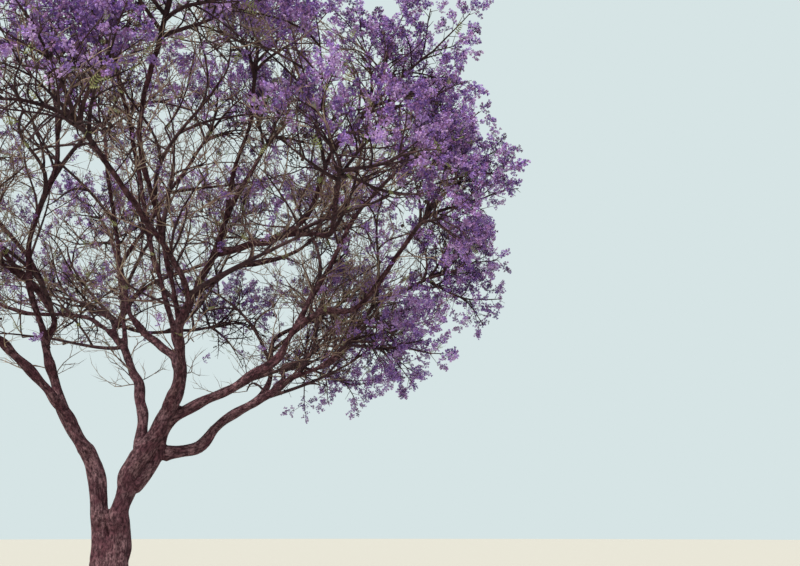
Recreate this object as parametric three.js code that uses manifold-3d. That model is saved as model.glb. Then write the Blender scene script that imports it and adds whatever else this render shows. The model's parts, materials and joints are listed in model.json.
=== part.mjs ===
// A jacaranda in full bloom: a short oval trunk that forks low into two stems, sinuous
// boughs, and a wide umbrella crown of blossom sprays. Millimetres, +Z up, the origin at
// the middle of the trunk's flat foot. A bearing is an angle seen from above, from +X
// (over the road) towards +Y, and a rise is an angle above level, both in degrees.

import * as THREE from "three";
import { mergeVertices } from "three/addons/utils/BufferGeometryUtils.js";
import Module from "manifold-3d";

// Trunk: an oval column with a root flare, forked low
const trunkHeight = 1250;
const trunkHalfWidth = 425;
const trunkHalfDepth = 268;
const trunkSides = 18;
const trunkRings = 7;
const flareSpread = 0.4;
const flareHeight = 330;
const flareLobes = 5;
const lobeDepth = 0.18;
const crotchNarrowing = 0.1; // the top ring draws in under the two stems

// Crown: masses of blossom in tiers round an axis that leans a little over the road
const crownAxis = new THREE.Vector3(500, -400, 0);
const lightPull = { share: 0.04, bearing: -35 }; // the crown reaches out over the open road
const crownHeart = new THREE.Vector3(500, -200, 5600);
const tiers = [
  { label: "low", count: 2, reach: 6500, height: 6600, first: 12, span: 70 },
  { label: "rim", count: 11, reach: 8100, height: 8800, first: -12, span: 360 },
  { label: "shoulder", count: 9, reach: 7300, height: 11700, first: -34, span: 360 },
  { label: "top", count: 6, reach: 3400, height: 13700, first: 30, span: 360 },
];
const tierWander = { bearing: 0.2, reach: 0.05, height: 0.035 };
const massReach = new THREE.Vector3(2350, 2350, 1750);
const tipBeforeCentre = 1500;

// Growth inside a mass: a stem, the twigs on it, and the sprays of blossom on them.
// The first of each parent's children leads on from its end and the rest stand aside.
const stemLength = 700;
const stemRadius = 52;
const growth = [
  { forks: 6, lead: 15, aside: 52, spacing: 0.15, length: 1450, radius: 32 },
  { forks: 3, lead: 16, aside: 54, spacing: 0.24, length: 1150, width: 720, depth: 540 },
];
const sprayWaist = 0.58; // the widest place of a spray, as a share of its length
const leadSink = { twig: 60, spray: 130 };
const asideSink = { twig: 0, spray: 18 };
const twigTaper = 0.68;
const upwardPull = 0.16;
const goldenTurn = 2.39996;
const turnsTried = 6;
const clearance = 6;
const fuseTolerance = 4;
const cutTolerance = 0.04;

// Main limbs, each a chain of legs [length, bearing, rise] and then on to its mass
const mainLimbs = [
  {
    name: "stem_left",
    start: [-190, 0, 1050],
    radii: [248, 60],
    legs: [[1350, 180, 83], [1100, 180, 70], [1600, 180, 58], [1450, 205, 72], [1150, 220, 80]],
    feeds: "shoulder 6",
  },
  {
    name: "stem_right",
    start: [190, 0, 1050],
    radii: [252, 60],
    legs: [
      [1800, -40, 86], [1320, -8, 60], [820, 0, 66], [1080, 70, 78],
      [1040, 123, 69], [1300, 40, 68], [910, -15, 65], [1400, -20, 70],
    ],
    feeds: "top 0",
  },
  {
    name: "bough_road_high",
    parent: "stem_right",
    at: 0.093,
    radii: [190, 60],
    legs: [
      [600, 25, 42], [520, 15, 66], [960, -17, 64], [1790, 0, 29],
      [1070, -12, 30], [900, -23, 55], [830, -16, 31], [1090, -21, 6],
    ],
    feeds: "rim 0",
  },
  {
    name: "bough_road_low",
    parent: "bough_road_high",
    at: 0.22,
    radii: [170, 52],
    legs: [[900, 20, 14], [850, 14, 43], [1300, 14, 34], [850, 18, 38], [800, 15, 22]],
    feeds: "low 0",
  },
  {
    name: "bough_back",
    parent: "stem_right",
    at: 0.167,
    radii: [150, 55],
    legs: [[1640, 118, 65], [1210, 130, 49], [1560, 134, 43], [1500, 110, 25]],
    feeds: "rim 4",
  },
  {
    name: "bough_front",
    parent: "stem_right",
    at: 0.292,
    radii: [135, 55],
    legs: [[480, -66, 46], [870, -62, 39], [1240, -80, 45], [1500, -75, 30]],
    feeds: "rim 9",
  },
  {
    name: "bough_inner",
    parent: "stem_right",
    at: 0.422,
    radii: [118, 52],
    legs: [[430, 156, 54], [1020, 158, 35], [930, 152, 45], [1080, 141, 63], [890, 92, 76]],
    feeds: "top 1",
  },
  {
    name: "bough_over_road",
    parent: "stem_right",
    at: 0.778,
    radii: [108, 52],
    legs: [[1310, -27, 2], [950, -39, 0], [1010, -36, -5], [1000, -52, -16]],
    feeds: "rim 10",
  },
  {
    name: "bough_left_front",
    parent: "stem_left",
    at: 0.33,
    radii: [150, 55],
    legs: [[1500, -128, 52], [1900, -132, 40], [1700, -118, 24]],
    feeds: "rim 7",
  },
];

// Side boughs: where on a main limb one may fork, and how it swings on its way
const forkFrom = 0.3;
const forkTo = 0.88;
const forkRadius = 75;
const forkSpacing = 420;
const crowdingCost = 3000;
const turnCost = 0.8;
const sideSwing = 0.07;
const leaveShare = 0.34;
const arriveShare = 0.28;
const leaveTurn = 0.7;
const arriveTurn = 0.5;
const sideTip = 52;
const sideGirth = { start: 62, bySpan: 0.014, ofParent: 0.78 };

const taperPower = 1.25;
const seat = 0.35; // the running gap between pieces that meet
const limbSamples = 24;
const wasm = await Module();
wasm.setup();

const material = {
  bark: new THREE.MeshStandardMaterial({ color: 0x4f3b38, roughness: 0.95, metalness: 0 }),
  blossom: new THREE.MeshStandardMaterial({ color: 0x7d5fa6, roughness: 0.8, metalness: 0 }),
};

// A seeded source of numbers from 0 to 1
function drawsFrom(seed) {
  let state = (seed * 69069 + 12345) % 4294967296;
  const draw = () => {
    state = (state * 1664525 + 1013904223) % 4294967296;
    return state / 4294967296;
  };
  draw();
  draw();
  return draw;
}

const radians = THREE.MathUtils.degToRad;

function heading(bearing, rise) {
  const level = Math.cos(radians(rise));
  return new THREE.Vector3(
    level * Math.cos(radians(bearing)),
    level * Math.sin(radians(bearing)),
    Math.sin(radians(rise)),
  );
}

// Two directions square to the given one and to each other
function sidesOf(direction) {
  const pole = Math.abs(direction.z) > 0.9 ? new THREE.Vector3(1, 0, 0) : new THREE.Vector3(0, 0, 1);
  const across = new THREE.Vector3().crossVectors(pole, direction).normalize();
  return [across, new THREE.Vector3().crossVectors(direction, across)];
}

// The crown's masses, tier by tier
function placeMasses() {
  const draw = drawsFrom(71);
  const either = (amount) => amount * (draw() * 2 - 1);
  const places = [];
  for (const tier of tiers) {
    const step = tier.span / tier.count;
    for (let k = 0; k < tier.count; k++) {
      const bearing = tier.first + step * (k + either(tierWander.bearing));
      const pull = lightPull.share * Math.cos(radians(bearing - lightPull.bearing));
      const reach = tier.reach * (1 + pull + either(tierWander.reach));
      const centre = heading(bearing, 0).multiplyScalar(reach).add(crownAxis);
      centre.z = tier.height * (1 + either(tierWander.height));
      const outward = centre.clone().sub(crownHeart).normalize();
      const tip = centre.clone().addScaledVector(outward, -tipBeforeCentre);
      places.push({ label: tier.label + " " + k, seed: places.length, centre, tip, outward });
    }
  }
  return places;
}

// A limb tapers from its collar to its tip, a little faster at first
function radiusAt(limb, t) {
  const [base, tip] = limb.radii;
  return tip + (base - tip) * Math.pow(1 - t, taperPower);
}

function limbThrough(points, details) {
  const curve = new THREE.CatmullRomCurve3(points, false, "catmullrom", 0.5);
  const trail = curve.getPoints(limbSamples);
  return { ...details, points, curve, trail };
}

function makeMainLimbs(masses) {
  const made = new Map();
  for (const limb of mainLimbs) {
    const parent = made.get(limb.parent);
    const points = [parent ? parent.curve.getPoint(limb.at) : new THREE.Vector3(...limb.start)];
    for (const [length, bearing, rise] of limb.legs)
      points.push(points.at(-1).clone().addScaledVector(heading(bearing, rise), length));
    const mass = masses.find((m) => m.label === limb.feeds);
    mass.fed = true;
    points.push(mass.tip);
    const { name, radii } = limb;
    made.set(name, limbThrough(points, { name, radii, mass, sides: 8 }));
  }
  return made;
}

// The nearest fork for a mass that turns least from its parent and crowds no other fork
function bestFork(mass, parents, taken) {
  let best = { cost: Infinity };
  for (const parent of parents) {
    for (let k = 0; k <= limbSamples; k++) {
      const t = forkFrom + ((forkTo - forkFrom) * k) / limbSamples;
      if (radiusAt(parent, t) < forkRadius) continue;
      const from = parent.curve.getPoint(t);
      const way = mass.tip.clone().sub(from);
      const turn = way.angleTo(parent.curve.getTangent(t));
      const crowded = taken.some((place) => place.distanceTo(from) < forkSpacing);
      const cost = way.length() * (1 + turnCost * turn * turn) + (crowded ? crowdingCost : 0);
      if (cost < best.cost) best = { cost, parent, t, from };
    }
  }
  return best;
}

// Every mass that no main limb feeds gets a bough from the best place on one
function makeSideBoughs(parents, masses) {
  const draw = drawsFrom(29);
  const either = (amount) => amount * (draw() * 2 - 1);
  const taken = [];
  const made = [];
  for (const mass of masses.filter((m) => !m.fed)) {
    const { parent, t, from } = bestFork(mass, parents, taken);
    taken.push(from);
    const straight = mass.tip.clone().sub(from);
    const span = straight.length();
    const leave = parent.curve.getTangent(t).lerp(straight.normalize(), leaveTurn).normalize();
    const [across, over] = sidesOf(leave);
    const swing = span * sideSwing;
    const first = from.clone().addScaledVector(leave, span * leaveShare);
    first.addScaledVector(across, either(swing)).addScaledVector(over, either(swing));
    const arrive = mass.outward.clone().lerp(straight, arriveTurn).normalize();
    const second = mass.tip.clone().addScaledVector(arrive, -span * arriveShare);
    second.addScaledVector(across, either(swing));
    const girth = sideGirth.start + span * sideGirth.bySpan;
    const radii = [Math.min(radiusAt(parent, t) * sideGirth.ofParent, girth), sideTip];
    const name = "bough_" + mass.label.replace(" ", "_");
    made.push(limbThrough([from, first, second, mass.tip], { name, radii, mass, sides: 6 }));
  }
  return made;
}

function solidOf(geometry) {
  geometry.deleteAttribute("normal");
  geometry.deleteAttribute("uv");
  const merged = mergeVertices(geometry, 1e-3);
  return new wasm.Manifold(
    new wasm.Mesh({
      numProp: 3,
      vertProperties: merged.attributes.position.array,
      triVerts: new Uint32Array(merged.index.array),
    }),
  );
}

function largestBody(solid) {
  return solid.decompose().reduce((a, b) => (a.volume() > b.volume() ? a : b));
}

// A tapered cylinder bent along the limb's curve, grown a little where it cuts another
function limbSolid(limb, grow = 0) {
  const rings = (limb.points.length - 1) * 2;
  const geometry = new THREE.CylinderGeometry(1, 1, 1, limb.sides, rings);
  const place = geometry.attributes.position;
  const stations = [];
  let across = sidesOf(limb.curve.getTangent(0))[0];
  for (let k = 0; k <= rings; k++) {
    const tangent = limb.curve.getTangent(k / rings);
    across = across.clone().addScaledVector(tangent, -across.dot(tangent)).normalize();
    const over = new THREE.Vector3().crossVectors(tangent, across);
    const centre = limb.curve.getPoint(k / rings);
    stations.push({ centre, across, over, radius: radiusAt(limb, k / rings) + grow });
  }
  for (let i = 0; i < place.count; i++) {
    const { centre, across, over, radius } = stations[Math.round((place.getY(i) + 0.5) * rings)];
    const spot = centre.clone().addScaledVector(across, place.getX(i) * radius);
    spot.addScaledVector(over, -place.getZ(i) * radius);
    place.setXYZ(i, spot.x, spot.y, spot.z);
  }
  return solidOf(geometry);
}

// The trunk: an oval cylinder whose foot spreads into shallow root lobes
function trunkSolid(grow = 0) {
  const geometry = new THREE.CylinderGeometry(1, 1, 1, trunkSides, trunkRings);
  const place = geometry.attributes.position;
  for (let i = 0; i < place.count; i++) {
    const share = place.getY(i) + 0.5;
    const z = trunkHeight * share * (0.5 + 0.5 * share);
    const angle = Math.atan2(place.getZ(i), place.getX(i));
    const foot = Math.exp(-z / flareHeight);
    const lobes = 1 + lobeDepth * Math.cos(flareLobes * angle);
    const top = share > 0.99 ? crotchNarrowing : 0;
    const swell = 1 + flareSpread * foot * lobes - top;
    place.setXYZ(
      i,
      place.getX(i) * (trunkHalfWidth * swell + grow),
      -place.getZ(i) * (trunkHalfDepth * swell + grow),
      z + (share > 0.99 ? grow : 0),
    );
  }
  return solidOf(geometry);
}

function meshOf(name, solid, look) {
  const found = solid.getMesh();
  const geometry = new THREE.BufferGeometry();
  const points = new Float32Array(found.vertProperties);
  geometry.setAttribute("position", new THREE.BufferAttribute(points, 3));
  geometry.setIndex(new THREE.BufferAttribute(new Uint32Array(found.triVerts), 1));
  geometry.computeVertexNormals();
  const mesh = new THREE.Mesh(geometry, look);
  mesh.name = name;
  return mesh;
}

// How far a point is inside the mass's own space: nearer to its centre than to any other
function roomIn(mass, masses, point) {
  const offset = point.clone().sub(mass.centre);
  let room = (1 - offset.clone().divide(massReach).length()) * massReach.z;
  for (const other of masses) {
    if (other === mass) continue;
    const way = other.centre.clone().sub(mass.centre);
    const half = way.length() / 2;
    room = Math.min(room, half - offset.dot(way) / (2 * half));
  }
  return room;
}

// The gap between a straight piece's axis and the limbs
function gapToLimbs(limbs, start, end) {
  const axis = new THREE.Line3(start, end);
  const spot = new THREE.Vector3();
  let least = Infinity;
  for (const limb of limbs)
    limb.trail.forEach((point, k) => {
      axis.closestPointToPoint(point, true, spot);
      least = Math.min(least, spot.distanceTo(point) - radiusAt(limb, k / limbSamples));
    });
  return least;
}

// A child's heading: tilted from its parent's, turned round it, and pulled a little up
function childHeading(direction, tilt, turn) {
  const [across, over] = sidesOf(direction);
  const aside = across.multiplyScalar(Math.cos(turn)).addScaledVector(over, Math.sin(turn));
  const made = direction.clone().multiplyScalar(Math.cos(tilt)).addScaledVector(aside, Math.sin(tilt));
  made.z += upwardPull;
  return made.normalize();
}

// The pieces of one mass: its stem, its twigs and its sprays, each a straight axis
function growMass(mass, masses, limbs, own) {
  const way = own.curve.getTangent(1);
  const from = mass.tip.clone().addScaledVector(way, seat);
  const stem = { from, way, length: stemLength, radius: stemRadius, order: 0, sink: 0 };
  const pieces = [stem];
  const fork = (parent, seed) => {
    const draw = drawsFrom(seed);
    const rule = growth[parent.order];
    const isSpray = parent.order === growth.length - 1;
    const girth = isSpray ? rule.width / 2 : rule.radius + 60;
    const firstTurn = draw() * Math.PI * 2;
    for (let k = 0; k < rule.forks; k++) {
      const tilt = radians((k ? rule.aside : rule.lead) * (0.8 + 0.4 * draw()));
      const length = rule.length * (0.85 + 0.3 * draw());
      const childSeed = Math.floor(draw() * 1048576);
      const root = parent.from.clone().addScaledVector(parent.way, parent.length * (1 - k * rule.spacing));
      for (let n = 0; n < turnsTried; n++) {
        const turn = firstTurn + k * goldenTurn + n * 1.1;
        const way = childHeading(parent.way, tilt, turn);
        const middle = root.clone().addScaledVector(way, length * 0.55);
        const end = root.clone().addScaledVector(way, length);
        if (roomIn(mass, masses, end) < clearance + (isSpray ? 0 : girth)) continue;
        if (roomIn(mass, masses, middle) < clearance + girth) continue;
        if (gapToLimbs(limbs, middle, end) < clearance + girth) continue;
        const sink = (k ? asideSink : leadSink)[isSpray ? "spray" : "twig"];
        const child = { from: root, way, length, sink, isSpray, radius: rule.radius, order: parent.order + 1 };
        pieces.push(child);
        if (!isSpray) fork(child, childSeed);
        break;
      }
    }
  };
  fork(stem, 1000 + mass.seed * 37);
  return pieces;
}

// A three-sided tapered twig, its root sunk in what bears it
function twigGeometry(piece) {
  const length = piece.length + piece.sink;
  return new THREE.CylinderGeometry(piece.radius * twigTaper, piece.radius, length, 3)
    .translate(0, length / 2 - piece.sink, 0);
}

// A spray of blossom: eight faces, widest past its middle
function sprayGeometry(piece) {
  const { width, depth } = growth.at(-1);
  const length = piece.length + piece.sink;
  const geometry = new THREE.OctahedronGeometry(1);
  const place = geometry.attributes.position;
  for (let i = 0; i < place.count; i++) {
    const y = place.getY(i);
    place.setY(i, y > 0.5 ? 1 : y < -0.5 ? 0 : sprayWaist);
  }
  return geometry.scale(width / 2, length, depth / 2).translate(0, -piece.sink, 0);
}

// One mass's solid: every piece turned from +Y to its own heading, and all of them fused
function massSolid(pieces) {
  const solids = pieces.map((piece) => {
    const [across] = sidesOf(piece.way);
    const over = new THREE.Vector3().crossVectors(across, piece.way);
    const turned = new THREE.Matrix4().makeBasis(across, piece.way, over).setPosition(piece.from);
    const geometry = piece.isSpray ? sprayGeometry(piece) : twigGeometry(piece);
    return solidOf(geometry.applyMatrix4(turned));
  });
  return largestBody(solids.reduce((whole, solid) => whole.add(solid)))
    .asOriginal()
    .simplify(fuseTolerance);
}

// Each limb is cut clear of the trunk and of the limbs made before it
function addLimbs(group, limbs) {
  const cutters = [trunkSolid(seat)];
  for (const limb of limbs) {
    const cut = cutters.reduce((solid, cutter) => solid.subtract(cutter), limbSolid(limb));
    const clean = largestBody(cut).asOriginal().simplify(cutTolerance);
    group.add(meshOf(limb.name, clean, material.bark));
    cutters.push(limbSolid(limb, seat));
  }
}

function addMasses(group, limbs, masses) {
  for (const limb of limbs) {
    const solid = massSolid(growMass(limb.mass, masses, limbs, limb));
    group.add(meshOf("mass_" + limb.mass.label.replace(" ", "_"), solid, material.blossom));
  }
}

const tree = new THREE.Group();
tree.name = "jacaranda";
const masses = placeMasses();
const mainOnes = [...makeMainLimbs(masses).values()];
const limbs = [...mainOnes, ...makeSideBoughs(mainOnes, masses)];
tree.add(meshOf("trunk", trunkSolid(), material.bark));
addLimbs(tree, limbs);
addMasses(tree, limbs, masses);

export default tree;
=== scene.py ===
import json
import math
import bmesh
import bpy
import numpy as np
from mathutils import Matrix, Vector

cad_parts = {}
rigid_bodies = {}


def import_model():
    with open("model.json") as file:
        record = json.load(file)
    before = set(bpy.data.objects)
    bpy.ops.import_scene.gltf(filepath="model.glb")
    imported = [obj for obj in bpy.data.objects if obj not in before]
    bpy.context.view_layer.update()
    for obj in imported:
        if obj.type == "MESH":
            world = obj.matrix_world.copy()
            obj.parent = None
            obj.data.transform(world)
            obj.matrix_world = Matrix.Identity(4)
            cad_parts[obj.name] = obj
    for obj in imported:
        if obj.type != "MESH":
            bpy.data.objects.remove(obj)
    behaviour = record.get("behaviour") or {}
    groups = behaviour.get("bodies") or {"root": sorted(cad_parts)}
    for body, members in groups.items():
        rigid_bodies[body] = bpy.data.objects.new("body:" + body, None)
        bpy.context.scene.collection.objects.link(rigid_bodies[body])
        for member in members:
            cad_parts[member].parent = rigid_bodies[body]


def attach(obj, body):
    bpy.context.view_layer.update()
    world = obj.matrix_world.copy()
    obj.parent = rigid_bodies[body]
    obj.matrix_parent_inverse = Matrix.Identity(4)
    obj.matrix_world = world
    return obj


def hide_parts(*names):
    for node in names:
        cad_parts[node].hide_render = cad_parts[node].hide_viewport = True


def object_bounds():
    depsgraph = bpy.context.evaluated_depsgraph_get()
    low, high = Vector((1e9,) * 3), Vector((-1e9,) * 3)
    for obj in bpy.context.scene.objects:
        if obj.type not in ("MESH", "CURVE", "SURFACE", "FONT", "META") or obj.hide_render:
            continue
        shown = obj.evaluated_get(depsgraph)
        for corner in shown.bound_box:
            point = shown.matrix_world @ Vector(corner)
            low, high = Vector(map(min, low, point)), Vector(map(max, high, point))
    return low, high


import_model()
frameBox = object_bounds()
scene = bpy.context.scene

# A jacaranda in full bloom, in metres, with +Z up and the origin at the middle of the trunk's foot.
# A bearing is seen from above, from +X towards +Y, and a rise is above level, both in degrees.

# The photograph's viewing place, at eye level
view = {
    "place": (6.86, -21.25, 1.7), "tiltUp": 16.06, "focalPixels": 858, "imageWidth": 800, "sensor": 36,
    "farthest": 400,
}


def addObject(name, data):
    made = bpy.data.objects.new(name, data)
    scene.collection.objects.link(made)
    return made


def placeCamera():
    lens = bpy.data.cameras.new("roadside_view")
    lens.sensor_width = view["sensor"]
    lens.lens = view["focalPixels"] * view["sensor"] / view["imageWidth"]
    lens.clip_end = view["farthest"]
    camera = addObject("roadside_view", lens)
    camera.location = view["place"]
    camera.rotation_euler = (math.radians(90 + view["tiltUp"]), 0, 0)
    scene.camera = camera


placeCamera()
print("camera placed")

# The trunk, an oval column with a root flare
trunk = {
    "height": 1.25, "halfWidth": 0.425, "halfDepth": 0.268,
    "flareSpread": 0.4, "flareHeight": 0.33, "lobes": 5, "lobeDepth": 0.18,
    "crotchTop": 1.62, "rings": 26, "sides": 48, "belowCut": 0.12,
    "domeFrom": 0.25, "domePower": 2.2, "domeLeast": 0.02,
}

# The crown's masses, in tiers round an axis set a little to one side
crown = {
    "axis": np.array([0.5, -0.4, 0.0]),
    "lightPull": 0.04, "lightBearing": -35,
    "heart": np.array([0.5, -0.2, 5.6]),
    "tiers": [
        ("low", 2, 6.5, 6.6, 12, 70),  # label, count, reach, height, first bearing, span
        ("rim", 11, 8.1, 8.8, -12, 360),
        ("shoulder", 9, 7.3, 11.7, -34, 360),
        ("top", 6, 3.4, 13.7, 30, 360),
    ],
    "wander": (0.2, 0.05, 0.035),
    "massReach": np.array([2.35, 2.35, 1.75]),
    "tipBeforeCentre": 1.5,
}

# The main limbs: name, parent and place on it or a start, radii, the mass fed, legs of (length, bearing, rise)
mainLimbs = [
    ("stem_left", None, (-0.19, 0, 1.05), (0.248, 0.06), "shoulder 6",
     [(1.35, 180, 83), (1.1, 180, 70), (1.6, 180, 58), (1.45, 205, 72), (1.15, 220, 80)]),
    ("stem_right", None, (0.19, 0, 1.05), (0.252, 0.06), "top 0",
     [(1.8, -40, 86), (1.32, -8, 60), (0.82, 0, 66), (1.08, 70, 78),
      (1.04, 123, 69), (1.3, 40, 68), (0.91, -15, 65), (1.4, -20, 70)]),
    ("bough_road_high", "stem_right", 0.093, (0.19, 0.06), "rim 0",
     [(0.6, 25, 42), (0.52, 15, 66), (0.96, -17, 64), (1.79, 0, 29),
      (1.07, -12, 30), (0.9, -23, 55), (0.83, -16, 31), (1.09, -21, 6)]),
    ("bough_road_low", "bough_road_high", 0.22, (0.17, 0.052), "low 0",
     [(0.9, 20, 14), (0.85, 14, 43), (1.3, 14, 34), (0.85, 18, 38), (0.8, 15, 22)]),
    ("bough_back", "stem_right", 0.167, (0.15, 0.055), "rim 4",
     [(1.64, 118, 65), (1.21, 130, 49), (1.56, 134, 43), (1.5, 110, 25)]),
    ("bough_front", "stem_right", 0.292, (0.135, 0.055), "rim 9",
     [(0.48, -66, 46), (0.87, -62, 39), (1.24, -80, 45), (1.5, -75, 30)]),
    ("bough_inner", "stem_right", 0.422, (0.118, 0.052), "top 1",
     [(0.43, 156, 54), (1.02, 158, 35), (0.93, 152, 45), (1.08, 141, 63), (0.89, 92, 76)]),
    ("bough_over_road", "stem_right", 0.778, (0.108, 0.052), "rim 10",
     [(1.31, -27, 2), (0.95, -39, 0), (1.01, -36, -5), (1.0, -52, -16)]),
    ("bough_left_front", "stem_left", 0.33, (0.15, 0.055), "rim 7",
     [(1.5, -128, 52), (1.9, -132, 40), (1.7, -118, 24)]),
]
sideBoughs = {
    "forkFrom": 0.3, "forkTo": 0.88, "forkRadius": 0.075, "spacing": 0.42, "crowdingCost": 3.0,
    "turnCost": 0.8, "swing": 0.07, "leaveShare": 0.34, "arriveShare": 0.28,
    "leaveTurn": 0.7, "arriveTurn": 0.5, "tip": 0.052, "girth": 0.062, "girthBySpan": 0.014, "ofParent": 0.78,
}
taperPower = 1.25
limbSamples = 24

# Growth inside a mass. The first child leads on from its parent's end and the rest stand aside.
stemLength = 0.7
growth = [
    {"forks": 6, "lead": 15, "aside": 52, "spacing": 0.15, "length": 1.45, "girth": 0.092},
    {"forks": 3, "lead": 16, "aside": 54, "spacing": 0.24, "length": 1.15, "girth": 0.36},
]
tiltVaries = (0.8, 0.4)  # a pair is the least value and how far a draw can take it above that
lengthVaries = (0.85, 0.3)
upwardPull = 0.16
fullTurn = 6.283
goldenTurn = 2.39996
turnsTried, turnStep = 6, 1.1
middleShare = 0.55
clearance = 0.006

# Where each series of draws starts; one with many starts adds a piece's own number
seeds = {
    "masses": 71, "sideBoughs": 29, "bark": 900, "mass": 1000, "fillers": 3000, "shoots": 5000, "onTwigs": 6000,
    "twigs": 7000, "openTwigs": 8000, "panicles": 7, "leaves": 23, "pods": 31,
}


def drawsFrom(seed):
    state = (seed * 69069 + 12345) % 4294967296

    def draw():
        nonlocal state
        state = (state * 1664525 + 1013904223) % 4294967296
        return state / 4294967296

    draw()
    draw()
    return draw


def eitherFrom(draw):
    return lambda amount: amount * (draw() * 2 - 1)


def varied(pair, draw):
    return pair[0] + pair[1] * draw()


def unit(v):
    return v / math.sqrt(v[0] * v[0] + v[1] * v[1] + v[2] * v[2])


def cross(a, b):
    return np.array([a[1] * b[2] - a[2] * b[1], a[2] * b[0] - a[0] * b[2], a[0] * b[1] - a[1] * b[0]])


def heading(bearing, rise):
    turn, lift = math.radians(bearing), math.radians(rise)
    return np.array([math.cos(lift) * math.cos(turn), math.cos(lift) * math.sin(turn), math.sin(lift)])


def sidesOf(direction):
    pole = np.array([1.0, 0, 0]) if abs(direction[2]) > 0.9 else np.array([0, 0, 1.0])
    across = unit(cross(pole, direction))
    return across, cross(direction, across)


def placeMasses():
    either = eitherFrom(drawsFrom(seeds["masses"]))
    masses = []
    for label, count, reachOut, height, first, span in crown["tiers"]:
        step = span / count
        for k in range(count):
            bearing = first + step * (k + either(crown["wander"][0]))
            pull = crown["lightPull"] * math.cos(math.radians(bearing - crown["lightBearing"]))
            reach = reachOut * (1 + pull + either(crown["wander"][1]))
            centre = heading(bearing, 0) * reach + crown["axis"]
            centre[2] = height * (1 + either(crown["wander"][2]))
            outward = unit(centre - crown["heart"])
            tip = centre - crown["tipBeforeCentre"] * outward
            masses.append({"label": f"{label} {k}", "seed": len(masses), "centre": centre, "tip": tip,
                           "outward": outward, "fed": False})
    return masses


def curvePoint(points, t):
    legs = len(points) - 1
    leg = min(int(legs * t), legs - 1)
    w = legs * t - leg
    before = points[leg - 1] if leg > 0 else 2 * points[0] - points[1]
    after = points[leg + 2] if leg + 2 <= legs else 2 * points[legs] - points[legs - 1]
    a, b = points[leg], points[leg + 1]
    leave, arrive = (b - before) * 0.5, (after - a) * 0.5
    return a + leave * w + (3 * (b - a) - 2 * leave - arrive) * w * w + (2 * (a - b) + leave + arrive) * w ** 3


def curveTangent(points, t):
    return unit(curvePoint(points, min(t + 0.0001, 1)) - curvePoint(points, max(t - 0.0001, 0)))


def radiusAt(limb, t):
    base, tip = limb["radii"]
    return tip + (base - tip) * (1 - t) ** taperPower


def limbThrough(name, points, radii, mass, parent=None):
    trail = np.array([curvePoint(points, k / limbSamples) for k in range(limbSamples + 1)])
    limb = {"name": name, "points": points, "radii": radii, "mass": mass, "trail": trail, "parent": parent}
    limb["trailRadii"] = np.array([radiusAt(limb, k / limbSamples) for k in range(limbSamples + 1)])
    return limb


def makeMainLimbs(masses):
    made = {}
    for name, parent, start, radii, feeds, legs in mainLimbs:
        first = curvePoint(made[parent]["points"], start) if parent else np.array(start, float)
        points = [first]
        for length, bearing, rise in legs:
            points.append(points[-1] + heading(bearing, rise) * length)
        mass = next(m for m in masses if m["label"] == feeds)
        mass["fed"] = True
        points.append(mass["tip"])
        made[name] = limbThrough(name, points, radii, mass, (parent, start) if parent else None)
    return made


def bestFork(mass, parents, taken):
    rule = sideBoughs
    best = (math.inf,)
    for parent in parents:
        for k in range(limbSamples + 1):
            t = rule["forkFrom"] + (rule["forkTo"] - rule["forkFrom"]) * k / limbSamples
            if radiusAt(parent, t) < rule["forkRadius"]:
                continue
            start = curvePoint(parent["points"], t)
            way = mass["tip"] - start
            span = np.linalg.norm(way)
            turn = math.acos(max(-1, min(1, float(way @ curveTangent(parent["points"], t)) / span)))
            crowded = any(np.linalg.norm(place - start) < rule["spacing"] for place in taken)
            cost = span * (1 + rule["turnCost"] * turn * turn) + (rule["crowdingCost"] if crowded else 0)
            if cost < best[0]:
                best = (cost, parent, t, start)
    return best[1:]


def makeSideBoughs(parents, masses):
    rule = sideBoughs
    either = eitherFrom(drawsFrom(seeds["sideBoughs"]))
    taken, made = [], []
    for mass in masses:
        if mass["fed"]:
            continue
        parent, t, start = bestFork(mass, parents, taken)
        taken.append(start)
        straight = mass["tip"] - start
        span = np.linalg.norm(straight)
        tangent = curveTangent(parent["points"], t)
        leave = unit(tangent + (straight / span - tangent) * rule["leaveTurn"])
        across, over = sidesOf(leave)
        swing = span * rule["swing"]
        first = start + leave * span * rule["leaveShare"]
        first = first + across * either(swing)
        first = first + over * either(swing)
        arrive = unit(mass["outward"] + (straight / span - mass["outward"]) * rule["arriveTurn"])
        second = mass["tip"] - arrive * span * rule["arriveShare"] + across * either(swing)
        girth = rule["girth"] + span * rule["girthBySpan"]
        radii = (min(radiusAt(parent, t) * rule["ofParent"], girth), rule["tip"])
        name = "bough_" + mass["label"].replace(" ", "_")
        made.append(limbThrough(name, [start, first, second, mass["tip"]], radii, mass, (parent["name"], t)))
    return made


# How far a point is inside the mass's own space
def roomIn(mass, others, point):
    offset = point - mass["centre"]
    room = (1 - np.linalg.norm(offset / crown["massReach"])) * crown["massReach"][2]
    ways, halves = others
    return min(room, float(np.min(halves - ways @ offset / (2 * halves))))


def neighboursOf(mass):
    ways = np.array([m["centre"] - mass["centre"] for m in masses if m is not mass])
    return ways, np.linalg.norm(ways, axis=1) / 2


def gapToLimbs(start, end):
    axis = end - start
    along = np.clip((trails - start) @ axis / (axis @ axis), 0, 1)
    spots = start + along[:, None] * axis
    return float(np.min(np.linalg.norm(spots - trails, axis=1) - trailRadii))


def childHeading(direction, tilt, turn, pull=upwardPull):
    across, over = sidesOf(direction)
    aside = across * math.cos(turn) + over * math.sin(turn)
    made = direction * math.cos(tilt) + aside * math.sin(tilt)
    made[2] += pull
    return unit(made)


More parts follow.
